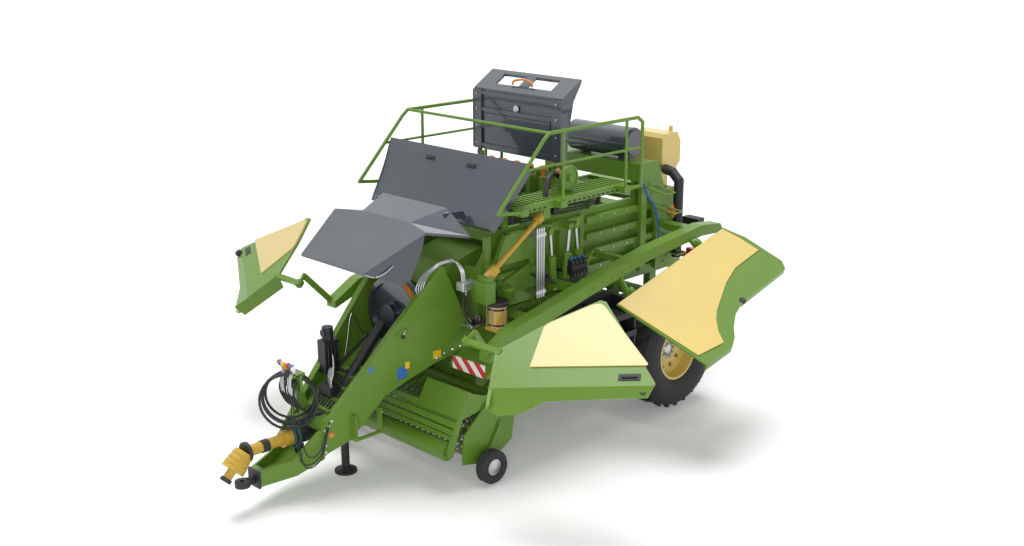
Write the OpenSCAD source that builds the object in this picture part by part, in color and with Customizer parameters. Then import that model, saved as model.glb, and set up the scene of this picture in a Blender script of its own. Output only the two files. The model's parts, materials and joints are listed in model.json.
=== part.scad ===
// Large square baler, drawn with its hoods and side flaps standing open.
// X runs forward to the hitch, Y to the machine's left, Z up from the floor.

/* [Running gear] */
// Outer diameter of the two main tyres
wheel_diameter = 1380; // [1240:10:1420]
// Section width of the main tyres
wheel_width = 680; // [520:10:690]
// Distance from the centre plane to the middle of each main wheel
wheel_offset = 1100; // [1075:5:1105]
// Outer diameter of the pick-up's gauge wheels
gauge_diameter = 360; // [320:10:380]
// Radius of the jack's leg
jack_leg_r = 44; // [36:1:48]

/* [Bale channel] */
// Clear width of the bale channel
channel_width = 1200; // [1160:10:1220]
// Clear height of the bale channel
channel_height = 900; // [820:10:920]
// Length of the bale channel behind the press body
channel_length = 1800; // [1750:50:1900]
// Height of each stiffening rib on the channel's sides
rib_height = 75; // [50:5:95]
// Number of stiffening ribs on each side
rib_count = 5; // [4:1:6]

/* [Pick-up] */
// Working width of the pick-up
pickup_width = 2350; // [2250:10:2400]
// Number of tine bars on the reel
tine_bars = 5; // [4:1:6]
// Number of tines on each bar
tines_per_bar = 24; // [16:1:28]
// Radius of the crop roller under the wind guard
roller_r = 100; // [80:5:110]

/* [Covers] */
// Thickness of the moulded side flaps
flap_thickness = 24; // [16:1:30]
// Height by which the light side panels stand proud
panel_thickness = 12; // [8:1:18]
// Thickness of the dark hoods
hood_thickness = 26; // [18:1:34]

/* [Fits] */
// Running gap between turning pieces and what carries them
turn_gap = 0.5; // [0.4:0.1:2]
// Bore of the hitch eye
hitch_bore = 50; // [40:1:60]

/* [Hidden] */
$fn = 48;
eps = 0.01;
wall = 50;
wall_y = channel_width / 2 + wall;
press_front = -1350;
press_rear = -2950;
channel_rear = press_rear - channel_length;
floor_z = 1520;
roof_z = floor_z + channel_height;
axle_x = -3950;
axle_z = wheel_diameter / 2;
rim_r = 340;
hub_r = 60;
stub_r = 60 - turn_gap;

pto_z = 610;
pto_bend_x = 1240;
pto_drop = 45;
pto_reach = 330;
pto_cap_r = 60;

chute_depth = 90;
chute_reach = 1100;
chute_drop = 20;
chute_pin_r = 24;
chute_hinge_x = channel_rear - 60;
chute_hinge_z = floor_z - 70;

front_end = pto_bend_x + cos(pto_drop) * pto_reach + sin(pto_drop) * pto_cap_r;
rear_end = chute_hinge_x - cos(chute_drop) * chute_reach - sin(chute_drop) * chute_depth / 2;
shift_x = -(front_end + rear_end) / 2;

pick_pivot = [-1900, 0, 950];
pick_pin_r = 40;
reel_axis = [-1000, 0, 365];
reel_tip_r = 300;
reel_bar_r = 170;
guard_pivot = [-1130, 0, 860];
guard_pin_r = 18;
roller_axis = [-470, 0, 430];
gauge_x = -920;
gauge_y = pickup_width / 2 + 115;
gauge_width = 130;

fly_x = -760;
fly_z = 1600;
fly_r = 400;
fly_depth = 150;

hood_pivot = [-1185, 0, 2705];
knot_pivot = [-2590, 0, 3030];

// front flap: shut position, swing axis and swing
ff_corner = [-750, 1480, 1020];
ff_tilt = 8;
ff_axis = [0.7158, -0.2060, -0.6672];
ff_point = [-387, 1356, 1600];
ff_open = 79.8;
ff_pin = ff_point - 181.6 * ff_axis;

// rear flap: hinge line start, slope and droop
rf_start = [-2670, 1420, 1600];
rf_slope = 15.08;
rf_droop = 25;
rf_axis = [cos(rf_slope), 0, -sin(rf_slope)];
rf_pin_r = 20;
rf_hinges = [[250, 1890], [1500, 2070]];

green = [0.30, 0.50, 0.17];
light = [0.93, 0.83, 0.50];
dark = [0.27, 0.30, 0.34];
black = [0.06, 0.06, 0.065];
steel = [0.62, 0.63, 0.64];
amber = [0.90, 0.66, 0.10];

// helpers
module box(x0, x1, y0, y1, z0, z1)
  translate([min(x0, x1), min(y0, y1), min(z0, z1)])
    cube([abs(x1 - x0), abs(y1 - y0), abs(z1 - z0)]);
module both() { children(); mirror([0, 1, 0]) children(); }
module place() translate([shift_x, 0, 0]) children();
module at_rear() translate([channel_rear, 0, 0]) children();
module side_plate(pts, y, t)
  translate([0, y + t, 0]) rotate([90, 0, 0]) linear_extrude(t) polygon(pts);
module cross_plate(pts, x, t)
  translate([x, 0, 0]) rotate([90, 0, 90]) linear_extrude(t) polygon(pts);
module rod(p, q, r) {
  d = q - p;
  len = norm(d);
  translate(p) rotate([0, acos(d[2] / len), atan2(d[1], d[0])]) cylinder(h = len, r = r);
}
module bar(p, q, w, h) {
  d = q - p;
  len = norm(d);
  translate(p) rotate([0, acos(d[2] / len), atan2(d[1], d[0])])
    translate([-h / 2, -w / 2, 0]) cube([h, w, len]);
}
module tube_path(pts, r, n = 20) {
  for (i = [0 : len(pts) - 2]) rod(pts[i], pts[i + 1], r, $fn = n);
  for (i = [1 : 1 : len(pts) - 2]) translate(pts[i]) sphere(r = r * 1.03, $fn = n);
}
module along_y(x, z, y0, y1, r)
  translate([x, y0, z]) rotate([-90, 0, 0]) cylinder(h = y1 - y0, r = r);
module along_x(x0, x1, y, z, r)
  translate([x0, y, z]) rotate([0, 90, 0]) cylinder(h = x1 - x0, r = r);

// drawbar: two tall side plates that close in on the nose
plate_nose = [500, 300];
plate_yaw = -7.85;
plate_pts = [[500, 720], [350, 870], [-370, 1600], [-950, 2170], [-1010, 2170], [-1420, 1250],
  [-870, 1130], [-460, 990], [-250, 910], [-170, 830], [180, 520], [460, 440], [500, 400]];
module drawbar_side()
  translate([plate_nose[0], plate_nose[1], 0]) rotate([0, 0, plate_yaw])
    translate([-plate_nose[0], -25, 0]) {
      side_plate(plate_pts, 0, 25);
      side_plate([[500, 720], [350, 870], [-370, 1600], [-950, 2170], [-935, 2130], [-355, 1560],
        [350, 830], [500, 680]], -45, 70);
    }
module drawbar() color(green) {
  difference() {
    union() {
      both() drawbar_side();
      // cross ties between the plates
      box(-70, 70, -360, 360, 640, 700);
      box(-640, -600, -430, 430, 1150, 1320);
      translate([0, 0, 430]) cylinder(h = 560, r = jack_leg_r + turn_gap + 12);
    }
    // bore of the jack's sleeve
    translate([0, 0, 420]) cylinder(h = 560, r = jack_leg_r + turn_gap);
  }
  // square step hoops under the plates
  both() {
    box(170, 140, 330, 420, 520, 800);
    box(-150, -180, 370, 420, 560, 800);
    box(170, -180, 395, 420, 520, 550);
    box(-150, -180, 395, 420, 520, 560);
  }
}

// tongue: an open trough that carries the drive shaft and ends in the hitch
module tongue() color(green) difference() {
  intersection() {
    linear_extrude(800) polygon([[480, -300], [480, 300], [1120, 85], [1120, -85]]);
    rotate([90, 0, 0]) translate([0, 0, -400]) linear_extrude(800)
      polygon([[480, 395], [480, 720], [540, 700], [800, 440], [1120, 390], [1120, 225], [760, 270]]);
  }
  intersection() {
    linear_extrude(900) polygon([[470, -278], [470, 278], [1060, 80], [1060, -80]]);
    rotate([90, 0, 0]) translate([0, 0, -400]) linear_extrude(800)
      polygon([[470, 425], [470, 900], [1060, 900], [1060, 330], [760, 310]]);
  }
}

// hitch: a forged ring on a flanged shank
module hitch_eye() color(black) {
  box(1120, 1145, -95, 95, 215, 395);
  along_x(1145, 1215, 0, 290, 42);
  difference() {
    translate([1275, 0, 260]) cylinder(h = 60, r = 78);
    translate([1275, 0, 250]) cylinder(h = 80, d = hitch_bore);
  }
}

// drive shaft to the tractor, lying in the tongue
module bent() translate([pto_bend_x, 0, pto_z]) rotate([0, 90 + pto_drop, 0]) children();
module pto_shaft() color(amber) {
  along_x(650, 790, 0, pto_z, 84);
  along_x(790, 960, 0, pto_z, 58);
  along_x(1040, 1195, 0, pto_z, 58);
  bent() rotate_extrude() polygon([[0, -10], [96, -10], [104, 30], [112, 34], [104, 44], [114, 84],
    [122, 88], [114, 98], [120, 138], [128, 142], [120, 152], [124, 200], [0, 200]]);
  bent() translate([0, 0, 200]) cylinder(h = pto_reach - 240, r = 46);
}
module pto_sleeves() color(black) {
  along_x(300, 620, 0, pto_z, 98);
  along_x(620, 650, 0, pto_z, 118);
  along_x(960, 1040, 0, pto_z, 66);
  along_x(1195, 1228, 0, pto_z, 104);
  bent() translate([0, 0, pto_reach - 40]) cylinder(h = 40, r = pto_cap_r);
  // intermediate shaft up to the flywheel and the rest under the guard
  rod([310, 0, pto_z], [-560, 0, fly_z - 60], 55);
  box(560, 600, -60, 60, 400, pto_z - 90);
}

// hose post with its coupling block and loops
module hose_post() color(green) {
  bar([430, 0, 640], [610, 0, 1290], 90, 60);
  box(540, 700, -110, 110, 1270, 1300);
  box(600, 630, -150, 150, 1120, 1280);
  box(330, 500, -280, 280, 690, 730);
}
hose_hang = [670, 0, 1300];
hose_loops = [[-54, 250], [-18, 280], [18, 262], [54, 292]];
module hoses() color(black) {
  for (h = hose_loops)
    translate(hose_hang + [0.7071 * h[0], 0.7071 * h[0], -h[1]]) rotate([90, 0, -45])
      rotate_extrude($fn = 40) translate([h[1], 0]) circle(r = 13, $fn = 16);
  translate(hose_hang) rotate([0, 0, 45]) translate([-80, -30, -22]) cube([160, 60, 44]);
}

// ribbed channel between the drawbar plates
module step_channel() color(green) {
  side_plate([[430, 690], [430, 730], [-560, 1345], [-600, 1345], [-600, 1300]], -300, 600);
  for (i = [0 : 5]) box(330 - 130 * i, 270 - 130 * i, -180, 180, 745 + 80 * i, 835 + 80 * i);
}
module valve_block() color(black) {
  box(-120, 60, -330, -200, 1060, 1420);
  box(60, 200, -150, 60, 900, 1010);
  along_x(-40, 40, -265, 1500, 40);
  translate([-30, -265, 1400]) cylinder(h = 160, r = 60);
  both() rod([-80, 250, 1060], [-560, 250, 1340], 20);
}

// press body: the walls of the pre-chamber with their stiffeners
press_pts = [[press_front, 1000], [press_front, 2120], [-1650, 2480], [press_rear, 2480],
  [press_rear, 1000]];
module press_body() color(green) {
  both() {
    side_plate(press_pts, wall_y - wall, wall);
    for (r = [[-1400, -2900, 1560, 90], [-1500, -2900, 1960, 90], [-1700, -2900, 2380, 90],
        [-1400, -2900, 1180, 120]])
      box(r[0], r[1], wall_y, wall_y + 70, r[2] - r[3] / 2, r[2] + r[3] / 2);
    for (x = [-1420, -2080, -2560, -2900]) box(x, x - 70, wall_y, wall_y + 55, 1080, 2440);
    side_plate([[-1560, 1640], [-1560, 1900], [-2020, 2060], [-2020, 1640]], wall_y + 70, 40);
    side_plate([[-1480, 2120], [-1640, 2440], [-2020, 2440], [-2020, 2120]], wall_y + 70, 60);
  }
  // lugs and pins for the pick-up's arms
  both() {
    box(pick_pivot[0] - 60, pick_pivot[0] + 60, wall_y - wall, wall_y, pick_pivot[2] - 60, 1000);
    along_y(pick_pivot[0], pick_pivot[2], wall_y, 770, pick_pin_r);
  }
  box(press_front - 60, press_front, -wall_y + wall, wall_y - wall, 1000, 1230);
  both() box(press_front - 60, press_front, 440, wall_y - wall, 1230, 2100);
  box(press_front - 400, press_front - 340, -wall_y + wall, wall_y - wall, 2300, 2480);
  box(-2400, press_rear, -wall_y + wall, wall_y - wall, 2430, 2480);
}

// main gearbox behind the flywheel
module gearbox() color(green) {
  difference() {
    side_plate([[-1080, 1330], [-1080, 1870], [-1250, 2100], [-1700, 2230], [-1900, 2100],
      [-1900, 1230], [-1250, 1230]], -330, 660);
    both() box(-1300, -1750, 300, 400, 1420, 1980);
  }
  along_x(-1080, -900, 0, fly_z, 130);
  along_x(-900, fly_x + 30, 0, fly_z, 60 - turn_gap);
  along_y(-1580, 1800, -wall_y + wall, wall_y - wall, 110);
}

// chassis rails under the channel
module chassis() color(green) {
  both() {
    box(-1410, channel_rear + 250, channel_width / 2 - 120, channel_width / 2, 1030, 1230);
    difference() {
      box(axle_x + 250, axle_x - 250, channel_width / 2 - 110, channel_width / 2 - 50, axle_z - 120, 1030);
      box(axle_x - 75, axle_x + 75, 0, 900, axle_z - 75, axle_z + 75);
    }
    for (x = [-3050, -3700, channel_rear + 350])
      box(x - 60, x + 60, channel_width / 2 - 110, channel_width / 2 - 10, 1230, floor_z - wall);
  }
  for (x = [-1500, -2860, axle_x, channel_rear + 320])
    box(x - 60, x + 60, -channel_width / 2 + 120, channel_width / 2 - 120, 1070, 1190);
}

// feeder pan between the pick-up and the press
module feeder() color(green) {
  side_plate([[-1440, 1030], [-1440, 640], [-1560, 480], [-1900, 400], [-2300, 430], [-2500, 560],
    [-2690, 1030]], -channel_width / 2 + 100, channel_width - 200);
  along_y(-1780, 640, -channel_width / 2 + 60, channel_width / 2 - 60, 150);
}

// sloping plates beside the feeder, in front of the side beams
module aprons() color(green) both() {
  side_plate([[-960, 1120], [-940, 1120], [-940, 1150], [-1390, 1497], [-1405, 1462]], wall_y, 1220 - wall_y);
  box(-1000, press_front, wall_y - wall, wall_y, 1140, 1180);
}

// axle with two stubs
module axle() color(black) {
  box(axle_x - 75, axle_x + 75, -690, 690, axle_z - 75, axle_z + 75);
  both() {
    along_y(axle_x, axle_z, 690, wheel_offset + 70, stub_r);
    box(axle_x - 240, axle_x + 240, channel_width / 2 - 170, channel_width / 2 - 110, axle_z - 110,
      axle_z + 110);
  }
}

// bale channel: four walls and the ribs along its sides
module bale_channel() color(green) {
  box(press_rear, channel_rear, -wall_y + wall, wall_y - wall, floor_z - wall, floor_z);
  for (x = [press_rear - 500, press_rear - 1000, channel_rear + 220])
    box(x, x - 220, -wall_y + wall, wall_y - wall, roof_z, roof_z + wall);
}
module rib(z0, z1) box(press_rear - 40, channel_rear + 300, wall_y, wall_y + 80, z0, z1);
module channel_sides() color(green) both() {
  difference() {
    union() {
      box(press_rear, channel_rear, wall_y - wall, wall_y, floor_z - wall, roof_z + wall);
      // ears of the chute's pins
      box(channel_rear + 60, channel_rear - 110, wall_y - wall, wall_y, chute_hinge_z - 50, floor_z + 20);
    }
    along_y(chute_hinge_x, chute_hinge_z, 0, 900, chute_pin_r + turn_gap);
  }
  for (i = [0 : rib_count - 1]) {
    z = floor_z + 30 + rib_height / 2 + i * (channel_height - 60 - rib_height) / (rib_count - 1);
    rib(z - rib_height / 2, z + rib_height / 2);
  }
}

// rear frame: posts, transverse box beam and the two quarter arches
module rear_frame() color(green) at_rear() {
  box(870, 570, -wall_y - 120, wall_y + 120, 2680, 2890);
  both() {
    side_plate([[870, 2900], [560, 2900], [370, 2430], [310, 2000], [310, 1560], [550, 1560], [550, 2050],
      [650, 2400], [870, 2660]], wall_y + 80, 50);
    box(850, 750, wall_y + 80, wall_y + 130, floor_z + 60, 2680);
    box(830, 610, wall_y - 60, wall_y - 10, roof_z + wall, 2680);
  }
}
module air_tank() color(dark) at_rear() {
  along_y(720, 3095, -400, 520, 185);
  along_y(720, 3095, -440, -400, 150);
  along_y(720, 3095, 520, 560, 150);
  for (y = [-260, 360]) box(800, 640, y, y + 50, 2890, 2980);
}
module rear_tank() color(light) at_rear() {
  side_plate([[180, 2770], [180, 3080], [140, 3130], [-110, 3130], [-180, 3020], [-180, 2760], [-80, 2650],
    [90, 2650]], 60, 480);
  box(190, 10, 100, 500, roof_z + wall, 2660);
  translate([-130, 420, 3090]) cylinder(h = 100, r = 26);
}
module air_duct() color(black) at_rear() {
  tube_path([[130, wall_y - 90, 2700], [170, wall_y + 50, 2690], [190, wall_y + 170, 2600],
    [190, wall_y + 170, 1650]], 60);
  box(220, 160, wall_y, wall_y + 130, 1720, 1760);
  // tool box on its bracket
  box(-80, -210, wall_y + 40, wall_y + 280, 1960, 2090);
  box(60, -210, wall_y, wall_y + 40, 1990, 2030);
}

// knotters: a shaft with six tying heads on a table
module knotters() color(green) {
  box(-2640, -3260, -600, 600, 2480, 2540);
  // posts and pins of the hood
  both() {
    box(knot_pivot[0] + 25, knot_pivot[0] - 25, 560, 590, 2480, 3055);
    along_y(knot_pivot[0], knot_pivot[2], 590, 640, 15);
  }
  along_y(-2880, 2740, -590, 590, 32);
  for (i = [0 : 5]) {
    y = -525 + 210 * i;
    along_y(-2880, 2740, y - 20, y + 20, 150);
    box(-2980, -3120, y - 45, y + 45, 2540, 2760);
    bar([-3050, y, 2740], [-2760, y + 30, 2900], 26, 40);
    box(-2660, -2720, y - 35, y + 35, 2540, 2850);
  }
}

// upper front panel under the hood and its hinge carriers
panel_foot = [-1216, 0, 2620];
panel_lean = 56.1;
panel_rise = 772;
panel_pts = [[0, -953], [0, 953], [panel_rise, 1094], [panel_rise, -1094]];
module upper_panel() color(dark) {
  // dished panel with a rim behind it
  translate(panel_foot) rotate([0, panel_lean - 180, 0]) difference() {
    linear_extrude(110) polygon(panel_pts);
    translate([0, 0, 26]) linear_extrude(100) offset(delta = -26) polygon(panel_pts);
    translate([panel_rise / 2, 1300, -2860]) rotate([90, 0, 0]) cylinder(h = 2600, r = 2875, $fn = 180);
  }
  both() {
    bar([-1330, 520, 2660], [hood_pivot[0], 520, hood_pivot[2]], 30, 46);
    along_y(hood_pivot[0], hood_pivot[2], 505, 590, 16);
    side_plate([[-1660, 2480], [-1760, 2480], [-1660, 3190], [-1590, 3150]], wall_y - 80, 30);
  }
}

// walkways beside the knotters
module walkways() color(green) both() {
  box(-1560, -3300, wall_y + 10, 1050, 2770, 2800);
  box(-1560, -3300, 1020, 1050, 2720, 2770);
  for (i = [0 : 21]) box(-1580 - 78 * i, -1610 - 78 * i, wall_y + 30, 1000, 2800, 2812);
  for (x = [-1750, -2400, -3150]) {
    box(x - 40, x + 40, wall_y - 40, wall_y + 10, x < press_rear ? roof_z + wall : 2480, 2770);
    box(x - 40, x + 40, wall_y + 10, 1020, 2730, 2770);
  }
}

// hand rails, each a flat frame on brackets of the walkway
rail_z = 3545;
rail_y = 1125;
module railings() color(green) both() {
  tube_path([[-1560, rail_y, 2758], [-1192, rail_y, 2805], [-1852, rail_y, 3485], [-1932, rail_y, rail_z],
    [-3372, rail_y, rail_z], [-3452, rail_y, 3485], [-3452, rail_y, 2758], [-3200, rail_y, 2758]], 20);
  rod([-1575, rail_y, 3200], [-3452, rail_y, 3200], 14);
  for (x = [-2150, -3180]) rod([x, rail_y, 2758], [x, rail_y, rail_z], 17);
  for (x = [-1560, -2150, -3190]) box(x - 50, x + 50, 1050, rail_y + 25, 2722, 2795);
}
// rod across the rails and wire stirrups on the rear arches
stirrups = [[710, 2560], [550, 2300], [475, 2000], [460, 1780]];
module rail_ties() color(green) {
  rod([-1932, -rail_y, rail_z], [-1932, rail_y, rail_z], 17);
  both() at_rear() for (s = stirrups)
    tube_path([[s[0] + 60, wall_y + 129, s[1] + 30], [s[0] + 60, 1080, s[1]], [s[0] - 110, 1080, s[1]],
      [s[0] - 110, wall_y + 129, s[1] + 30]], 10, 8);
}

// arched side beams that carry the flaps
beam_pts = [[-840, 1360], [-840, 1440], [-1190, 1640], [-2360, 1880], [-3380, 2075], [-4350, 2180],
  [-4700, 2140], [-4760, 2050], [-4700, 2030], [-4350, 2050], [-3380, 1945], [-2360, 1740],
  [-1190, 1480]];
module side_beams() color(green) both() {
  side_plate(beam_pts, 1200, 160);
  // carriers on the press body, the channel and the rear frame
  box(-1495, -1555, wall_y, 1200, 1612, 1690);
  box(-2260, -2340, wall_y, 1200, 1760, 1840);
  box(-3060, -3140, wall_y + 80, 1200, 1935, 2000);
  box(channel_rear + 520, channel_rear + 370, wall_y + 130, 1200, 2080, 2140);
  // lugs and pins of the rear flap
  for (s = rf_hinges) {
    c = rf_start - s[0] * rf_axis;
    rod(c - 15 * rf_axis, c + 15 * rf_axis, 30);
    rise = (s[1] - c[2]) / cos(rf_slope);
    translate(c) rotate([0, rf_slope, 0])
      cross_plate([[-28, -10], [28, -10], [28, 8], [-60, rise], [-115, rise]], -15, 30);
    rod(c - 80 * rf_axis, c + 10 * rf_axis, rf_pin_r);
  }
  // arm and pin for the front flap
  bar([-870, 1310, 1420], ff_pin - 70 * ff_axis, 50, 70);
  rod(ff_pin - 95 * ff_axis, ff_pin + 90 * ff_axis, 22);
}

// twine racks with three tiers each
module twine_racks() color(black) both() {
  box(-1620, -3190, 960, 985, 860, 1560);
  for (z = [860, 1090, 1320]) {
    box(-1620, -3190, 985, 1340, z, z + 22);
    box(-1620, -3190, 1320, 1340, z + 22, z + 70);
  }
  for (x = [-1620, -2140, -2660, -3165]) box(x, x - 25, 985, 1320, 860, 1500);
  for (x = [-1700, -2860]) box(x - 40, x + 40, wall_y + 70, 960, 1150, 1210);
}

// needle yoke under the channel
module needle_yoke() color(green) {
  along_y(-3150, 800, -channel_width / 2 + 80, channel_width / 2 - 80, 60);
  for (i = [0 : 5]) {
    y = (i - 2.5) * (channel_width - 340) / 5;
    side_plate([[-3100, 740], [-3100, 860], [-2960, 900], [-2780, 860], [-2720, 720], [-2760, 700],
      [-2830, 800], [-2960, 830]], y - 12, 24);
  }
  both() bar([-3150, channel_width / 2 - 100, 800], [-3150, channel_width / 2 - 100, 1030], 50, 90);
}

// pieces on the left side wall
module grease_tank() color(light) {
  translate([-1345, 950, 1545]) cylinder(h = 230, r = 105);
  translate([-1345, 950, 1775]) cylinder(h = 40, r = 115);
  box(-1250, -1440, 860, 1040, 1505, 1545);
  box(-1355, -1395, wall_y, 860, 1505, 1545);
}
shaft_foot = [-1250, 930, 2110];
shaft_dir = [-cos(33), 0, sin(33)];
module drive_shaft() color(amber) {
  rod(shaft_foot, shaft_foot + 860 * shaft_dir, 28);
  rod(shaft_foot - 50 * shaft_dir, shaft_foot + 110 * shaft_dir, 58);
  rod(shaft_foot + 840 * shaft_dir, shaft_foot + 960 * shaft_dir, 50);
}
module shaft_mounts() color(green) {
  box(-1130, -1260, 800, 1010, 1830, 2060);
  box(-1150, -1240, 860, 1000, 2050, 2120);
  box(-1200, -1550, wall_y + 70, 810, 1880, 1960);
  box(-2010, -2110, wall_y - 50, 980, 2590, 2700);
  box(-2020, -2100, wall_y - 50, wall_y, 2480, 2590);
}
module pipes() color(steel) both() {
  for (i = [0 : 3]) rod([-1985 - 34 * i, 910, 1700], [-1985 - 34 * i, 910, 2480], 12);
  box(-1960, -2110, wall_y + 110, 925, 1740, 1780);
  box(-1960, -2110, wall_y + 130, 925, 2380, 2420);
}

// red and white boards and the lamps
module boards() color([0.75, 0.08, 0.06]) both()
  box(-925, -940, 700, 1180, 1120, 1260);
module lamps() color([0.7, 0.1, 0.08]) both() {
  box(channel_rear + 60, channel_rear + 110, wall_y, 900, 1640, 1700);
  box(channel_rear + 40, channel_rear + 100, 900, 1130, 1560, 1760);
}

// flywheel in front of the gearbox
module flywheel() color(dark) difference() {
  union() {
    along_x(fly_x - fly_depth / 2, fly_x + fly_depth / 2, 0, fly_z, fly_r);
    along_x(fly_x - fly_depth / 2, fly_x + fly_depth / 2 + 60, 0, fly_z, 120);
  }
  along_x(fly_x - 300, fly_x + 40, 0, fly_z, 60);
  translate([fly_x + 40, 0, fly_z]) rotate([0, 90, 0]) difference() {
    cylinder(h = 100, r = fly_r - 50);
    cylinder(h = 100, r = 150);
  }
}
module jack_leg() color(black) {
  translate([0, 0, 0]) cylinder(h = 26, r = 120);
  translate([0, 0, 26]) cylinder(h = 40, r1 = 90, r2 = jack_leg_r);
  translate([0, 0, 40]) cylinder(h = 560, r = jack_leg_r);
}

// main wheels
module tyre() color(black) translate([axle_x, wheel_offset, axle_z]) rotate([90, 0, 0])
  rotate_extrude($fn = 96) {
    w = wheel_width / 2;
    r = wheel_diameter / 2;
    polygon([[rim_r, -w * 0.80], [rim_r + 60, -w * 0.94], [rim_r + 0.45 * (r - rim_r), -w],
      [r - 60, -w * 0.94], [r - 14, -w * 0.82], [r, -w * 0.70], [r, w * 0.70], [r - 14, w * 0.82],
      [r - 60, w * 0.94], [rim_r + 0.45 * (r - rim_r), w], [rim_r + 60, w * 0.94],
      [rim_r, w * 0.80]]);
  }
module rim() color(light) translate([axle_x, wheel_offset, axle_z]) rotate([90, 0, 0])
  difference() {
    union() {
      rotate_extrude($fn = 96) {
        w = wheel_width / 2;
        polygon([[rim_r - 26, -w * 0.80], [rim_r, -w * 0.80], [rim_r, w * 0.80],
          [rim_r - 26, w * 0.80]]);
        polygon([[90, -60], [rim_r - 10, -130], [rim_r - 10, -105], [90, -25]]);
        polygon([[hub_r, -110], [120, -110], [120, 90], [hub_r, 90]]);
      }
    }
    for (a = [0 : 36 : 359]) rotate([0, 0, a]) translate([230, 0, -200]) cylinder(h = 400, r = 28, $fn = 24);
  }

// pick-up: end plates, trough and arms
module pickup_frame() color(green) {
  both() {
    side_plate([[-620, 250], [-1000, 160], [-1330, 330], [-1390, 760], [-1180, 930], [-1080, 930],
      [-640, 560]], pickup_width / 2 - 20, 20);
    difference() {
      union() {
        bar([-1330, 720, 700], [pick_pivot[0], 720, pick_pivot[2]], 50, 110);
        along_y(pick_pivot[0], pick_pivot[2], 680, 760, 90);
      }
      along_y(pick_pivot[0], pick_pivot[2], 600, 900, pick_pin_r + turn_gap);
    }
    // gauge wheel arms
    bar([-1150, gauge_y - 95, 560], [gauge_x, gauge_y - 95, gauge_diameter / 2], 24, 60);
    along_y(-1150, 560, pickup_width / 2, gauge_y - 95, 40);
    along_y(gauge_x, gauge_diameter / 2, gauge_y - 100, gauge_y + 60, 20);
    // pins of the wind guard
    along_y(guard_pivot[0], guard_pivot[2], pickup_width / 2 - 60, pickup_width / 2 - 10, guard_pin_r);
  }
  side_plate([[-1345, 330], [-1390, 760], [-1350, 760], [-1312, 350]], -pickup_width / 2 + 20,
    pickup_width - 40);
  along_y(-1330, 740, -pickup_width / 2 + 20, pickup_width / 2 - 20, 50);
  // strippers: bent bands between the tines
  for (i = [0 : tines_per_bar])
    translate([0, -pickup_width / 2 + 72 + (pickup_width - 120) * i / tines_per_bar, 0])
      rotate([90, 0, 0]) linear_extrude(24) polygon(concat(band_side(band_r + 10), reverse(band_side(band_r))));
}
band_r = 204;
function band_side(r) = concat([[-1355, 660 + r - band_r]],
  [for (a = [112 : -12 : -128]) [reel_axis[0] + r * cos(a), reel_axis[2] + r * sin(a)]],
  [[-1325, 350 - 1.5 * (r - band_r)]]);
function reverse(v) = [for (i = [len(v) - 1 : -1 : 0]) v[i]];
module reel() color(steel) {
  along_y(reel_axis[0], reel_axis[2], -pickup_width / 2 + 20 + turn_gap, pickup_width / 2 - 20 - turn_gap, 55);
  for (y = [-pickup_width / 2 + 30, pickup_width / 2 - 45])
    along_y(reel_axis[0], reel_axis[2], y, y + 15, 195);
  for (b = [0 : tine_bars - 1]) translate(reel_axis) rotate([0, 360 * b / tine_bars, 0]) {
    translate([reel_bar_r, -pickup_width / 2 + 40, 0]) rotate([-90, 0, 0])
      cylinder(h = pickup_width - 80, r = 18, $fn = 16);
    for (i = [0 : tines_per_bar - 1])
      translate([reel_bar_r, -pickup_width / 2 + 60 + (pickup_width - 120) * (i + 0.5) / tines_per_bar, 0])
        rotate([0, 90, 0]) cylinder(h = reel_tip_r - reel_bar_r, r = 5, $fn = 8);
  }
}

// wind guard: a slatted apron on two arms
guard_slats = [[-640, 800, 80], [-585, 725, 60], [-555, 650, 50], [-535, 590, 40]];
module wind_guard() color(green) {
  for (s = guard_slats)
    side_plate([[s[0], s[1]], [s[0] + 22, s[1] - 4], [s[0] + 44, s[1] - s[2]],
      [s[0] + 26, s[1] - s[2]]], -pickup_width / 2 + 50, pickup_width - 100);
  both() {
    side_plate([[-760, 1010], [-735, 1010], [-590, 760], [-620, 760]], 640, pickup_width / 2 - 690);
    difference() {
      side_plate([[guard_pivot[0] - 50, guard_pivot[2] + 45], [-960, 920], [-800, 980], [-760, 1010], [-735, 1010], [-590, 770],
        [-425, 440], [-425, 385], [-515, 385], [-525, 440], [-650, 740],
        [guard_pivot[0] - 50, guard_pivot[2] - 50]], pickup_width / 2 - 50, 24);
      along_y(guard_pivot[0], guard_pivot[2], 0, pickup_width, guard_pin_r + turn_gap);
    }
  }
}
module crop_roller() color(green) {
  along_y(roller_axis[0], roller_axis[2], -pickup_width / 2 + 60, pickup_width / 2 - 60, roller_r);
  along_y(roller_axis[0], roller_axis[2], -pickup_width / 2 + 50 + turn_gap, pickup_width / 2 - 50 - turn_gap, 30);
}
module gauge_wheel() color(black) translate([gauge_x, gauge_y, gauge_diameter / 2]) rotate([90, 0, 0])
  rotate_extrude($fn = 64) {
    r = gauge_diameter / 2;
    w = gauge_width / 2;
    polygon([[20 + turn_gap, -w * 0.7], [r * 0.55, -w * 0.7], [r * 0.60, -w * 0.95], [r * 0.92, -w], [r, -w * 0.7],
      [r, w * 0.7], [r * 0.92, w], [r * 0.60, w * 0.95], [r * 0.55, w * 0.7], [20 + turn_gap, w * 0.7]]);
  }

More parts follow.
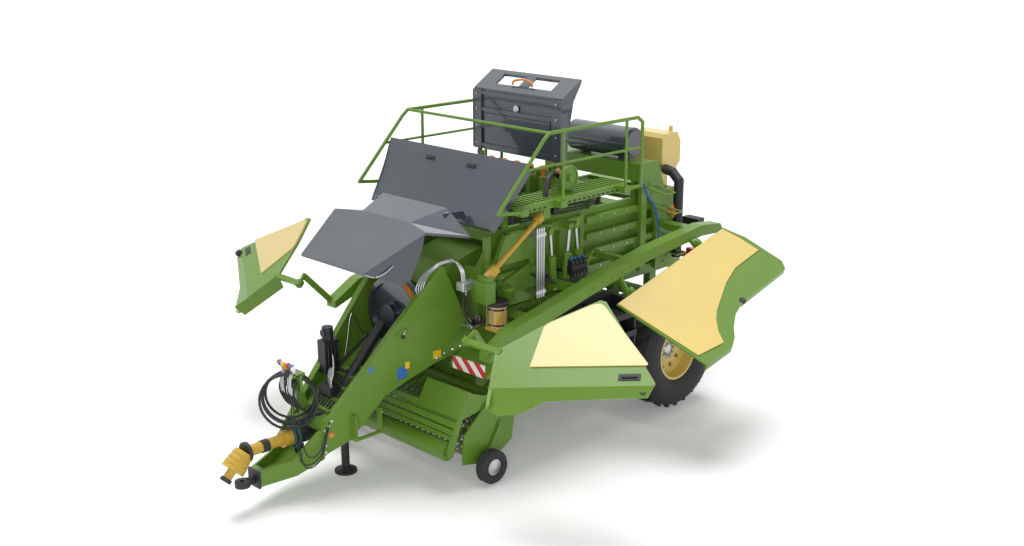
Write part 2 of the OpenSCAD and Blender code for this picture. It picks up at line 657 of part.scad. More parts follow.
// front hood over the flywheel
hood_half = [[74, 520, 2323], [-551, 748, 2665], [-1050, 851, 2560], [-1040, 518, 2799], [-646, 383, 2690]];
hood_top = concat(hood_half, [for (p = hood_half) [p[0], -p[1], p[2]]]);
hood_faces = [[0, 1, 4], [4, 1, 2], [4, 2, 3], [0, 4, 9], [0, 9, 5], [4, 3, 8], [4, 8, 9], [5, 9, 6], [9, 7, 6], [9, 8, 7]];
hood_loop = [0, 1, 2, 3, 8, 7, 6, 5];
module front_hood() color(dark) {
  // creased bonnet with wings that slope down at the rear
  polyhedron(concat(hood_top, [for (p = hood_top) p - [0, 0, hood_thickness]]),
    concat([for (f = hood_faces) [f[2], f[1], f[0]]], [for (f = hood_faces) [f[0] + 10, f[1] + 10, f[2] + 10]],
      [for (i = [0 : 7]) let (a = hood_loop[i], b = hood_loop[(i + 1) % 8]) [a, b, b + 10, a + 10]]));
  // lamp housings under the front and the hinge arms
  both() {
    side_plate([[60, 2308], [-390, 2105], [-525, 2135], [-690, 2425], [-740, 2645], [-551, 2640]], 506, 20);
    difference() {
      side_plate([[-960, 2765], [-960, 2690], [hood_pivot[0] - 40, hood_pivot[2] - 40],
        [hood_pivot[0] - 40, hood_pivot[2] + 40]], 545, 30);
      along_y(hood_pivot[0], hood_pivot[2], 500, 620, 16 + turn_gap);
    }
  }
}

// knotter hood standing upright
module knotter_hood() color(dark) {
  t = hood_thickness;
  x = knot_pivot[0];
  box(x - t, x, -700, 700, 3075, 3785);
  difference() {
    side_plate([[x, 3785], [x - 300, 3970], [x - 314, 3948], [x - t, 3768], [x - t, 3720], [x, 3720]], -700, 1400);
    box(x - 90, x - 250, -440, 440, 3600, 4100);
  }
  bar([x - 70, 0, 3816], [x - 270, 0, 3939], 140, 16);
  both() side_plate([[x - t, 3075], [x - t, 3775], [x - 300, 3955], [x - 300, 3925], [x - 180, 3740], [x - 110, 3430],
    [x - 80, 3075]], 676, 24);
  both() difference() {
    side_plate([[x + 25, 3005], [x - t, 3005], [x - t, 3095], [x, 3095], [x + 25, 3055]], 600, 30);
    along_y(x, knot_pivot[2], 500, 700, 15 + turn_gap);
  }
  // raised stiles, rails and the grip over the top slot
  both() box(x, x + 26, 560, 700, 3090, 3770);
  for (z = [3110, 3330, 3530, 3720]) box(x, x + 22, -560, 560, z, z + 36);
  box(x, x + 12, -520, 520, 3366, 3530);
}

// front flaps, drawn shut and swung open about their slanting pins
module ff_swing() translate(ff_point) rotate(a = ff_open, v = ff_axis) translate(-ff_point) children();
module ff_shut() translate(ff_corner) rotate([0, -ff_tilt, 0]) rotate([90, 0, 0]) children();
module front_flap() color(green) ff_swing() {
  ff_shut() {
    linear_extrude(flap_thickness)
      polygon([[0, 0], [-30, 450], [-520, 780], [-970, 1010], [-1030, 990], [-1570, 30], [-1560, 0]]);
    rotate([-24, 0, 0]) linear_extrude(flap_thickness)
      polygon([[0, 0], [-1560, 0], [-1500, -110], [-560, -130], [-330, -240], [-90, -260], [0, -210]]);
    rotate([0, -78, 0]) linear_extrude(34)
      polygon([[0, -190], [150, -150], [150, 400], [0, 440]]);
  }
  // hinge eye and arm
  ff_hub();
}
module ff_hub() {
  difference() {
    union() {
      rod(ff_pin + 5 * ff_axis, ff_pin + 75 * ff_axis, 46);
      bar(ff_pin + 40 * ff_axis, [-870, 1466, 1420], 50, 60);
    }
    rod(ff_pin - 5 * ff_axis, ff_pin + 200 * ff_axis, 22 + turn_gap);
  }
}
module front_panel() color(light) ff_swing() ff_shut() translate([0, 0, -panel_thickness])
  linear_extrude(panel_thickness)
    polygon([[-370, 230], [-450, 700], [-500, 745], [-900, 950], [-980, 960], [-1020, 930], [-1490, 240],
      [-1480, 220]]);

// rear flaps, drooping from the side beams
module rf_open() translate(rf_start) rotate([0, rf_slope, 0]) rotate([-rf_droop, 0, 0])
  rotate([0, 0, 180]) children();
module rear_flap() color(green) rf_open() {
  linear_extrude(flap_thickness)
    polygon([[0, -45], [2000, -45], [2080, -320], [2095, -840], [2020, -945], [1170, -945], [950, -1000],
      [760, -1110], [640, -1210], [510, -1275], [70, -1255]]);
  // hinge eyes
  for (s = rf_hinges) translate([s[0] + 15 + turn_gap, 0, 0]) {
    difference() {
      rotate([0, 90, 0]) cylinder(h = 60, r = 50);
      translate([-10, 0, 0]) rotate([0, 90, 0]) cylinder(h = 100, r = rf_pin_r + turn_gap);
    }
    translate([2, -90, 2]) cube([56, 55, flap_thickness - 4]);
  }
  translate([0, 0, -70]) linear_extrude(70)
    polygon([[70, -1255], [510, -1275], [510, -1240], [90, -1220]]);
  translate([0, 0, -60]) linear_extrude(60)
    polygon([[1170, -945], [2020, -945], [2020, -910], [1170, -910]]);
}
module rear_panel() color(light) rf_open() translate([0, 0, flap_thickness])
  linear_extrude(panel_thickness)
    polygon([[10, -55], [1960, -55], [2000, -300], [2010, -560], [1540, -560], [1250, -640], [1000, -750],
      [800, -840], [680, -920], [560, -1040], [470, -1180], [100, -1110]]);

// bale chute hanging from the channel's end
module chute() color(green) translate([chute_hinge_x, 0, chute_hinge_z]) rotate([0, -chute_drop, 0]) {
  rail_y1 = channel_width / 2 - 40;
  both() {
    box(30, -chute_reach, rail_y1 - 70, rail_y1, -chute_depth / 2, chute_depth / 2);
    along_y(0, 0, rail_y1, channel_width / 2 + wall, chute_pin_r);
  }
  for (x = [-40, -560, -chute_reach + 60])
    box(x, x - 60, -rail_y1 + 70, rail_y1 - 70, -35, 25);
  for (i = [1 : 7]) along_y(-chute_reach * i / 8 - 10, 10, -rail_y1 + 70, rail_y1 - 70, 28);
}

place() drawbar();
place() tongue();
place() hitch_eye();
place() pto_shaft();
place() pto_sleeves();
place() hose_post();
place() hoses();
place() step_channel();
place() valve_block();
place() press_body();
place() gearbox();
place() chassis();
place() feeder();
place() aprons();
place() axle();
place() bale_channel();
place() channel_sides();
place() rear_frame();
place() air_tank();
place() rear_tank();
place() air_duct();
place() knotters();
place() upper_panel();
place() walkways();
place() railings();
place() rail_ties();
place() side_beams();
place() twine_racks();
place() needle_yoke();
place() grease_tank();
place() drive_shaft();
place() shaft_mounts();
place() pipes();
place() boards();
place() lamps();
place() flywheel();
place() jack_leg();
place() tyre();  // tyre_left
place() mirror([0, 1, 0]) tyre();  // tyre_right
place() rim();  // rim_left
place() mirror([0, 1, 0]) rim();  // rim_right
place() pickup_frame();
place() reel();
place() wind_guard();
place() crop_roller();
place() gauge_wheel();  // gauge_left
place() mirror([0, 1, 0]) gauge_wheel();  // gauge_right
place() front_hood();
place() knotter_hood();
place() front_flap();  // front_flap_left
place() mirror([0, 1, 0]) front_flap();  // front_flap_right
place() front_panel();  // front_panel_left
place() mirror([0, 1, 0]) front_panel();  // front_panel_right
place() rear_flap();  // rear_flap_left
place() mirror([0, 1, 0]) rear_flap();  // rear_flap_right
place() rear_panel();  // rear_panel_left
place() mirror([0, 1, 0]) rear_panel();  // rear_panel_right
place() chute();
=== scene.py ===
"""Large square baler: finishes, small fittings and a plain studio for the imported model."""
import json
import math

import bpy
from bpy.props import FloatProperty, FloatVectorProperty, IntProperty, PointerProperty
from mathutils import Matrix, Vector


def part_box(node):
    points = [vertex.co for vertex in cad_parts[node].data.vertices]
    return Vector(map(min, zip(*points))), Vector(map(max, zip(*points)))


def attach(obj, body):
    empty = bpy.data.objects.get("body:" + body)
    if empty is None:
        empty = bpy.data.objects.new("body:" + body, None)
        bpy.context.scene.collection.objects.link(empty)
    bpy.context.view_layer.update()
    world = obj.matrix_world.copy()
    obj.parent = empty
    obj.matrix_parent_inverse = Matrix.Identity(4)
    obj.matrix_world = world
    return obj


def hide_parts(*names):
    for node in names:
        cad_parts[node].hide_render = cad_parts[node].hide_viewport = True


bl_info = {
    "name": "Large square baler",
    "version": (1, 0, 0),
    "blender": (4, 5, 0),
    "location": "View3D > Sidebar > Baler",
    "description": "Dresses the packed baler with its finishes, fittings and studio",
    "category": "Object",
}

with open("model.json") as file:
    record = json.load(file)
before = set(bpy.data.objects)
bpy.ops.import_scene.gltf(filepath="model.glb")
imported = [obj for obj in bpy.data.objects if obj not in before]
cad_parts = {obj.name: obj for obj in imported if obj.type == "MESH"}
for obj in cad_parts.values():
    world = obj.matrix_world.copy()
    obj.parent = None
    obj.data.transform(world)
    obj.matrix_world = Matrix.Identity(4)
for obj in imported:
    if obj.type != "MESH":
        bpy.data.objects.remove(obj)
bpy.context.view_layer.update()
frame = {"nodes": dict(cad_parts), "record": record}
NODES = frame["nodes"]
FOOT = sum(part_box("jack_leg"), Vector((0, 0, 0))) / 2
FOOT.z = 0.0


def at(x, y, z):
    """A point given in millimetres from the jack's foot."""
    return Vector((FOOT.x + x / 1000, y / 1000, z / 1000))


# finishes

class Value:
    """A node socket that takes Python's operators."""

    def __init__(self, finish, socket):
        self.finish = finish
        self.socket = socket

    def maths(self, operation, first, second):
        return self.finish.node("ShaderNodeMath", {"operation": operation}, [first, second])

    def __add__(self, other):
        return self.maths("ADD", self, other)

    __radd__ = __add__

    def __sub__(self, other):
        return self.maths("SUBTRACT", self, other)

    def __rsub__(self, other):
        return self.maths("SUBTRACT", other, self)

    def __mul__(self, other):
        return self.maths("MULTIPLY", self, other)

    __rmul__ = __mul__

    def __truediv__(self, other):
        return self.maths("DIVIDE", self, other)

    def over(self, edge):
        return self.maths("GREATER_THAN", self, edge)

    def part(self):
        return self.maths("FRACT", self, 0.0)


class Finish:
    """One material and the nodes that make it."""

    def __init__(self, name):
        self.material = bpy.data.materials.new(name)
        self.material.use_nodes = True
        self.tree = self.material.node_tree
        self.shader = self.tree.nodes["Principled BSDF"]
        self.where = self.node("ShaderNodeTexCoord", {}, {}, "Object")

    def node(self, kind, settings, sockets, output=0):
        made = self.tree.nodes.new(kind)
        for key, value in settings.items():
            if key == "stops":
                for stop, (place, colour) in zip(made.color_ramp.elements, value):
                    stop.position, stop.color = place, (*colour, 1)
            else:
                setattr(made, key, value)
        pairs = sockets.items() if isinstance(sockets, dict) else enumerate(sockets)
        for key, value in pairs:
            self.join(value, made.inputs[key])
        return Value(self, made.outputs[output])

    def join(self, value, socket):
        if isinstance(value, Value):
            self.tree.links.new(value.socket, socket)
        else:
            socket.default_value = value

    def set(self, **sockets):
        for key, value in sockets.items():
            self.join(value, self.shader.inputs[key.replace("_", " ")])
        return self

    def noise(self, scale, detail=3.0, rough=0.55):
        return self.node("ShaderNodeTexNoise", {},
            {"Vector": self.where, "Scale": scale, "Detail": detail, "Roughness": rough}, "Fac")

    def mix(self, factor, first, second):
        return self.node("ShaderNodeMix", {"data_type": "RGBA"},
            {0: factor, 6: (*first, 1) if isinstance(first, tuple) else first,
            7: (*second, 1) if isinstance(second, tuple) else second}, 2)

    def bump(self, height, distance, strength=1.0):
        return self.node("ShaderNodeBump", {}, {"Strength": strength, "Distance": distance, "Height": height},
            "Normal")

    def axes(self):
        split = self.tree.nodes.new("ShaderNodeSeparateXYZ")
        self.join(self.where, split.inputs[0])
        return [Value(self, s) for s in split.outputs]


def shade(colour, factor):
    return tuple(min(1.0, c * factor) for c in colour)


def paint(name, colour, gloss=0.34, coat=0.18):
    """Sprayed paint: slight drift of tone, faint orange peel and dusty patches."""
    f = Finish(name)
    drift = f.noise(1.6, 4.0)
    speck = f.noise(38.0, 4.0, 0.7)
    dust = (speck - 0.52) * 1.6 * drift
    tone = f.mix(drift, shade(colour, 0.86), shade(colour, 1.14))
    tone = f.mix(f.node("ShaderNodeClamp", {}, [dust]), tone, shade(colour, 0.55))
    f.set(Base_Color=tone, Roughness=gloss + drift * 0.14 + speck * 0.06, Coat_Weight=coat, Coat_Roughness=0.12,
        Specular_IOR_Level=0.32)
    f.set(Normal=f.bump(f.noise(260.0, 2.0), 0.0006, 0.35))
    return f.material


def moulded(name, colour, gloss=0.26, coat=0.5):
    """Gloss moulded panel with a soft flow of tone."""
    f = Finish(name)
    flow = f.noise(0.9, 3.0)
    grain = f.noise(120.0, 3.0)
    f.set(Base_Color=f.mix(flow, shade(colour, 0.90), shade(colour, 1.10)), Roughness=gloss + grain * 0.10,
        Coat_Weight=coat, Coat_Roughness=0.08)
    f.set(Normal=f.bump(grain, 0.0005, 0.25))
    return f.material


def metallic(name, colour):
    """Dark metallic paint with flake and a soft sheen."""
    f = Finish(name)
    drift = f.noise(1.1, 3.0)
    flake = f.node("ShaderNodeTexVoronoi", {}, {"Vector": f.where, "Scale": 420.0}, "Distance")
    f.set(Base_Color=f.mix(drift, shade(colour, 0.82), shade(colour, 1.2)), Metallic=0.30,
        Roughness=0.26 + drift * 0.12 + flake * 0.08, Coat_Weight=0.8, Coat_Roughness=0.06)
    f.set(Normal=f.bump(flake, 0.0004, 0.3))
    return f.material


def grained(name, colour, rough=0.6, scale=170.0):
    """Matt moulded plastic or rubber with a fine grain."""
    f = Finish(name)
    drift = f.noise(3.0, 3.0)
    grain = f.noise(scale, 4.0, 0.7)
    f.set(Base_Color=f.mix(drift * grain * 1.8, shade(colour, 0.8), shade(colour, 1.9)),
        Roughness=rough + grain * 0.2)
    f.set(Normal=f.bump(grain, 0.001, 0.4))
    return f.material


def bright_steel(name, colour):
    """Plated steel with drawn streaks."""
    f = Finish(name)
    streak = f.node("ShaderNodeTexNoise", {}, {"Vector": f.node("ShaderNodeMapping", {},
        {0: f.where, "Scale": (4.0, 4.0, 120.0)}), "Scale": 3.0, "Detail": 4.0}, "Fac")
    f.set(Base_Color=f.mix(streak, shade(colour, 0.8), shade(colour, 1.15)), Metallic=1.0,
        Roughness=0.22 + streak * 0.2)
    return f.material


def striped(name, first, second, pitch):
    """Slanting warning stripes."""
    f = Finish(name)
    _, y, z = f.axes()
    band = ((y + z) / pitch).part().over(0.5)
    f.set(Base_Color=f.mix(band, first, second), Roughness=0.35 + f.noise(90.0) * 0.1, Coat_Weight=0.4)
    return f.material


# modelling helpers

def clear():
    if bpy.context.object and bpy.context.object.mode != "OBJECT":
        bpy.ops.object.mode_set(mode="OBJECT")
    bpy.ops.object.select_all(action="DESELECT")


def settle(piece, name, body, material):
    """Puts a finished piece's place into its mesh and hangs it on its body."""
    clear()
    piece.select_set(True)
    bpy.context.view_layer.objects.active = piece
    if piece.type != "MESH":
        bpy.ops.object.convert(target="MESH")
        piece = bpy.context.object
    bpy.ops.object.transform_apply(location=True, rotation=True, scale=True)
    for m in list(piece.modifiers):
        bpy.ops.object.modifier_apply(modifier=m.name)
    piece.name = piece.data.name = name
    piece.data.materials.clear()
    piece.data.materials.append(material)
    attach(piece, body)
    return piece


def block(size, place, edge=0.004, turn=None):
    """A box with softened edges."""
    clear()
    bpy.ops.mesh.primitive_cube_add(size=1, location=(0, 0, 0))
    piece = bpy.context.object
    piece.scale = size
    bpy.ops.object.transform_apply(location=False, rotation=False, scale=True)
    bpy.ops.object.mode_set(mode="EDIT")
    bpy.ops.mesh.select_all(action="SELECT")
    bpy.ops.mesh.bevel(offset=min(edge, min(size) * 0.4), segments=2, affect="EDGES")
    bpy.ops.object.mode_set(mode="OBJECT")
    piece.matrix_world = Matrix.Translation(place) @ (turn.to_4x4() if turn else Matrix())
    bpy.context.view_layer.update()
    return piece


def turned(profile, place, axis, steps=32):
    """A revolved piece: profile is (radius, height) along the axis."""
    clear()
    mesh = bpy.data.meshes.new("turned")
    mesh.from_pydata([(r, 0, h) for r, h in profile], [(i, i + 1) for i in range(len(profile) - 1)], [])
    piece = bpy.data.objects.new("turned", mesh)
    bpy.context.scene.collection.objects.link(piece)
    piece.select_set(True)
    bpy.context.view_layer.objects.active = piece
    bpy.ops.object.mode_set(mode="EDIT")
    bpy.ops.mesh.select_all(action="SELECT")
    bpy.ops.mesh.spin(steps=steps, angle=math.tau, center=(0, 0, 0), axis=(0, 0, 1))
    bpy.ops.mesh.select_all(action="SELECT")
    bpy.ops.mesh.remove_doubles(threshold=0.00002)
    bpy.ops.mesh.normals_make_consistent(inside=False)
    bpy.ops.object.mode_set(mode="OBJECT")
    piece.matrix_world = Matrix.Translation(place) @ Vector(axis).to_track_quat("Z", "Y").to_matrix().to_4x4()
    bpy.context.view_layer.update()
    bpy.ops.object.shade_smooth_by_angle(angle=math.radians(35))
    return piece


def tube(points, radius, closed=False):
    """A bent tube or hose along a smooth curve."""
    clear()
    curve = bpy.data.curves.new("tube", "CURVE")
    curve.dimensions = "3D"
    curve.bevel_depth = radius
    curve.bevel_resolution = 3
    curve.use_fill_caps = True
    line = curve.splines.new("BEZIER")
    line.bezier_points.add(len(points) - 1)
    line.use_cyclic_u = closed
    for p, where in zip(line.bezier_points, points):
        p.co = where
        p.handle_left_type = p.handle_right_type = "AUTO"
    line.resolution_u = 8
    piece = bpy.data.objects.new("tube", curve)
    bpy.context.scene.collection.objects.link(piece)
    return piece


def merged(parts):
    clear()
    for p in parts:
        p.select_set(True)
    bpy.context.view_layer.objects.active = parts[0]
    if any(p.type == "CURVE" for p in parts):
        bpy.ops.object.convert(target="MESH")
    if len(parts) > 1:
        bpy.ops.object.join()
    return bpy.context.object


# settings

class BalerFinishes(bpy.types.PropertyGroup):
    body: FloatVectorProperty(name="Body", description="Paint of the frame and flaps", subtype="COLOR", size=3,
        min=0, max=1, default=(0.124, 0.246, 0.022))
    light: FloatVectorProperty(name="Light panels", description="Moulded panels on the flaps", subtype="COLOR",
        size=3, min=0, max=1, default=(0.76, 0.57, 0.15))
    hood: FloatVectorProperty(name="Hoods", description="Metallic paint of the hoods", subtype="COLOR", size=3,
        min=0, max=1, default=(0.044, 0.057, 0.072))
    guard: FloatVectorProperty(name="Shaft guards", description="Yellow guards of the drive shafts", subtype="COLOR",
        size=3, min=0, max=1, default=(0.54, 0.34, 0.03))


class BalerStudio(bpy.types.PropertyGroup):
    focal: FloatProperty(name="Focal length", description="Lens of the camera, in millimetres", default=43.77, min=10)
    sun: FloatProperty(name="Sun", description="Strength of the soft main light", default=2.55, min=0)
    fill: FloatProperty(name="Fill", description="Power of the low fill lamp", default=900.0, min=0)
    ambient: FloatProperty(name="Ambient", description="Strength of the even light", default=0.40, min=0)


MATERIALS = {}


class BALER_OT_finishes(bpy.types.Operator):
    """Gives every node of the model its finish"""
    bl_idname = "baler.finishes"
    bl_label = "Finishes"

    def execute(self, context):
        c = context.scene.baler_finishes
        MATERIALS.update(
            green=paint("body_paint", tuple(c.body)),
            light=moulded("light_panel", tuple(c.light)),
            # front flap panels: a copy of the light panel colour darkened to 0.86 as painted shade, to damp the
            # stronger light that falls on them
            front_light=moulded("front_light_panel", tuple(v * 0.86 for v in c.light)),
            dark=metallic("hood_paint", tuple(c.hood)),
            black=grained("black_plastic", (0.012, 0.012, 0.014), 0.45),
            rubber=grained("hose_rubber", (0.010, 0.010, 0.011), 0.42, 240.0),
            tyre=grained("tyre_rubber", (0.016, 0.016, 0.017), 0.62, 90.0),
            steel=bright_steel("bright_steel", (0.50, 0.51, 0.53)),
            grease=moulded("grease_pot", (0.58, 0.36, 0.07), 0.18, 0.6),
            amber=moulded("guard_plastic", tuple(c.guard), 0.38, 0.2),
            orange=paint("orange_paint", (0.72, 0.24, 0.02)),
            red=moulded("lamp_red", (0.52, 0.02, 0.015)),
            stripes=striped("warning_stripes", (0.60, 0.03, 0.02), (0.86, 0.86, 0.84), 0.19),
            white=moulded("white_plastic", (0.80, 0.80, 0.78)),
            blue=moulded("blue_sticker", (0.02, 0.14, 0.48)),
            yellow=moulded("yellow_sticker", (0.80, 0.55, 0.02)),
            teal=paint("teal_ring", (0.03, 0.26, 0.22)),
        )
        slots = {s["node"]: s["material_slot"] for s in frame["record"]["subparts"]}
        for name, node in NODES.items():
            # the front flap panels take the darkened copy of the light panel colour, which holds painted shade
            material = MATERIALS[{"boards": "stripes", "grease_tank": "grease", "front_panel_left": "front_light",
                "front_panel_right": "front_light"}.get(name, slots[name])]
            node.data.materials.clear()
            node.data.materials.append(material)
        return {"FINISHED"}


class BALER_OT_stage(bpy.types.Operator):
    """Sets the floor, the lamps and the camera"""
    bl_idname = "baler.stage"
    bl_label = "Studio"

    def execute(self, context):
        scene = context.scene
        s = scene.baler_studio
        clear()
        bpy.ops.mesh.primitive_plane_add(size=260, location=(0, 0, -0.002))
        floor = bpy.context.object
        floor.name = "studio_floor"
        f = Finish("studio_floor")
        rays = f.tree.nodes.new("ShaderNodeLightPath")
        seen = Value(f, rays.outputs["Is Camera Ray"]) + Value(f, rays.outputs["Is Glossy Ray"]) + Value(f,
            rays.outputs["Is Transmission Ray"])
        f.set(Base_Color=f.mix(f.noise(0.3), (0.90, 0.90, 0.90), (0.93, 0.93, 0.93)), Roughness=0.7,
            Emission_Color=f.mix(seen, (0.0, 0.0, 0.0), (0.15, 0.15, 0.15)), Emission_Strength=1.0)
        floor.data.materials.append(f.material)
        world = bpy.data.worlds.new("studio")
        scene.world = world
        world.use_nodes = True
        back = world.node_tree.nodes["Background"]
        path = world.node_tree.nodes.new("ShaderNodeLightPath")
        sky = world.node_tree.nodes.new("ShaderNodeMix")
        sky.data_type = "FLOAT"
        sky.inputs[2].default_value = s.ambient
        sky.inputs[3].default_value = 1.0
        seen = path.outputs["Is Camera Ray"]
        for ray in ("Is Glossy Ray", "Is Transmission Ray"):
            both = world.node_tree.nodes.new("ShaderNodeMath")
            both.operation = "MAXIMUM"
            world.node_tree.links.new(seen, both.inputs[0])
            world.node_tree.links.new(path.outputs[ray], both.inputs[1])
            seen = both.outputs[0]
        world.node_tree.links.new(seen, sky.inputs[0])
        world.node_tree.links.new(sky.outputs[0], back.inputs["Strength"])
        back.inputs["Color"].default_value = (1, 1, 1, 1)
        bpy.ops.object.light_add(type="SUN", location=(0, -4, 9))
        lamp = bpy.context.object
        lamp.name = "lamp_sun"
        lamp.data.energy = s.sun
        lamp.data.angle = math.radians(38)
        lamp.rotation_euler = Vector((0.14, 0.26, -0.95)).to_track_quat("-Z", "Y").to_euler()
        bpy.ops.object.light_add(type="AREA", location=(15.0, 14.0, 8.0))
        lamp = bpy.context.object
        lamp.name = "lamp_fill"
        lamp.data.size = 5.0
        lamp.data.energy = s.fill
        lamp.rotation_euler = (Vector((0, 0, 1.2)) - lamp.location).to_track_quat("-Z", "Y").to_euler()
        bpy.ops.object.camera_add(location=at(7361.7, 9872.6, 5770),
            rotation=(math.radians(73.7), 0, math.radians(135)))
        camera = bpy.context.object
        camera.data.sensor_width = 36
        camera.data.lens = s.focal
        camera.data.clip_end = 400
        scene.camera = camera
        scene.view_settings.view_transform = "Standard"
        return {"FINISHED"}


def repeat(piece, turns):
    """Copies of a piece, each with its own mesh, placed by the given matrices."""
    made = []
    for turn in turns:
        twin = piece.copy()
        twin.data = piece.data.copy()
        bpy.context.scene.collection.objects.link(twin)
        twin.matrix_world = turn @ piece.matrix_world
        made.append(twin)
    bpy.data.objects.remove(piece)
    bpy.context.view_layer.update()
    return made


def about(point, axis, angle):
    return Matrix.Translation(point) @ Matrix.Rotation(angle, 4, axis) @ Matrix.Translation(-point)


SIDES = (("left", 1), ("right", -1))
ORIGIN = Vector((0, 0, 0))
UP = (0, 0, 1)
# hinges and slopes as in the part's source
FLAP_AXIS = Vector((0.7158, -0.2060, -0.6672)).normalized()
FLAP_PIN = at(-387, 1356, 1600)
FLAP_OPEN = math.radians(79.8)
REAR_PIN = at(-2670, 1420, 1600)
REAR_SLOPE = math.radians(15.08)
REAR_LEAN = math.radians(-25)
PLATE_YAW = math.radians(-7.85)
POT_X, POT_Y = -1345, 950


def mirrored(matrix, side):
    """The same placing on the other side of the centre plane."""
    flip = Matrix.Diagonal((1, side, 1, 1))
    return flip @ matrix @ Matrix.Diagonal((1, 1, side, 1))


class BALER_OT_tyres(bpy.types.Operator):
    """Makes the main tyres with their lugs and the wheel nuts"""
    bl_idname = "baler.tyres"
    bl_label = "Tyres"

    def execute(self, context):
        s = context.scene.baler_fittings
        for side, sign in SIDES:
            low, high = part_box("tyre_" + side)
            middle = (low + high) / 2
            r = (high.z - low.z) / 2 - 0.001
            w = (high.y - low.y) / 2
            rim = 0.3402
            body = r - s.lug_height
            profile = [(rim, -0.80 * w), (rim + 0.018, -0.85 * w), (rim + 0.05, -0.90 * w), (rim + 0.075, -0.95 * w),
                (rim + 0.14, -0.99 * w), (body - 0.11, -0.985 * w), (body - 0.045, -0.93 * w),
                (body - 0.01, -0.82 * w), (body, -0.60 * w), (body + 0.006, 0)]
            profile += [(a, -b) for a, b in reversed(profile[:-1])] + [(rim, -0.80 * w)]
            parts = [turned(profile, middle, (0, 1, 0), 96)]
            for half in (-1, 1):
                lug = block((0.052, 0.86 * w, s.lug_height + 0.03),
                    middle + Vector((0, half * 0.43 * w, r - 0.007 - (s.lug_height + 0.03) / 2)), 0.008,
                    Matrix.Rotation(half * math.radians(38), 3, "Z"))
                step = math.tau / s.lugs
                parts += repeat(lug, [about(middle, "Y",
                    step * (i + (0.5 if half > 0 else 0))) for i in range(s.lugs)])
            tyre = settle(merged(parts), "tyre_tread_" + side, "wheel_" + side, MATERIALS["tyre"])
            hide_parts("tyre_" + side)
            hub = Vector((middle.x, middle.y + sign * 0.111, middle.z))
            cap = turned([(0.0, 0.0), (0.0, 0.030), (0.055, 0.028), (0.075, 0.014), (0.082, 0.0), (0.0, 0.0)], hub,
                (0, sign, 0), 32)
            nut = turned([(0.0, 0.0), (0.017, 0.0), (0.017, 0.018), (0.010, 0.020), (0.010, 0.034), (0.0, 0.034)],
                Vector((middle.x + 0.1, middle.y + sign * 0.109, middle.z)), (0, sign, 0), 6)
            nuts = repeat(nut, [about(middle, "Y", math.tau * i / 10) for i in range(10)])
            settle(merged([cap] + nuts), "wheel_nuts_" + side, "wheel_" + side, MATERIALS["steel"])
        return {"FINISHED"}


def flap_place(s, t, out):
    """A place on the left front flap: distance back along its foot, height and distance outwards, in millimetres."""
    shut = Matrix.Translation(at(-750, 1480, 1020)) @ Matrix.Rotation(math.radians(-8), 4,
        "Y") @ Matrix.Rotation(math.radians(90), 4, "X")
    swung = about(FLAP_PIN, FLAP_AXIS, FLAP_OPEN)
    return swung @ shut @ Matrix.Translation((-s / 1000, t / 1000, -out / 1000))


def rear_place(s, d, out):
    """A place on the left rear flap: distance back along its hinge, distance down the flap and outwards, in millimetres."""
    return (Matrix.Translation(REAR_PIN) @ Matrix.Rotation(REAR_SLOPE, 4, "Y") @ Matrix.Rotation(REAR_LEAN, 4, "X")
            @ Matrix.Rotation(math.pi, 4, "Z") @ Matrix.Translation((s / 1000, -d / 1000, out / 1000)))


class BALER_OT_flap_fittings(bpy.types.Operator):
    """Makes the handles, stops and knobs of the side flaps"""
    bl_idname = "baler.flap_fittings"
    bl_label = "Flap fittings"

    def execute(self, context):
        for side, sign in SIDES:
            # handle in its recess on the front flap
            dish = block((0.21, 0.075, 0.010), ORIGIN, 0.004)
            grip = block((0.15, 0.024, 0.018), Vector((0, 0, -0.012)), 0.007)
            recess = merged([dish, grip])
            recess.matrix_world = mirrored(flap_place(1330, 95, 2), sign)
            settle(recess, "flap_handle_" + side, "front_flap_" + side, MATERIALS["black"])
            # rubber stop at the front flap's low corner
            stop = turned([(0.0, 0.0), (0.038, 0.0), (0.046, 0.012), (0.046, 0.045), (0.034, 0.062), (0.0, 0.066)],
                ORIGIN, UP, 24)
            stop.matrix_world = mirrored(flap_place(1460, -35, -24), sign)
            settle(stop, "flap_stop_" + side, "front_flap_" + side, MATERIALS["black"])
            # knob on the rear flap's edge
            knob = turned([(0.0, -0.02), (0.034, -0.02), (0.042, -0.006), (0.042, 0.014), (0.030, 0.026),
                (0.0, 0.028)], ORIGIN, UP, 24)
            knob.matrix_world = mirrored(rear_place(1180, 925, 12), sign)
            settle(knob, "rear_knob_" + side, "rear_flap_" + side, MATERIALS["black"])
        return {"FINISHED"}


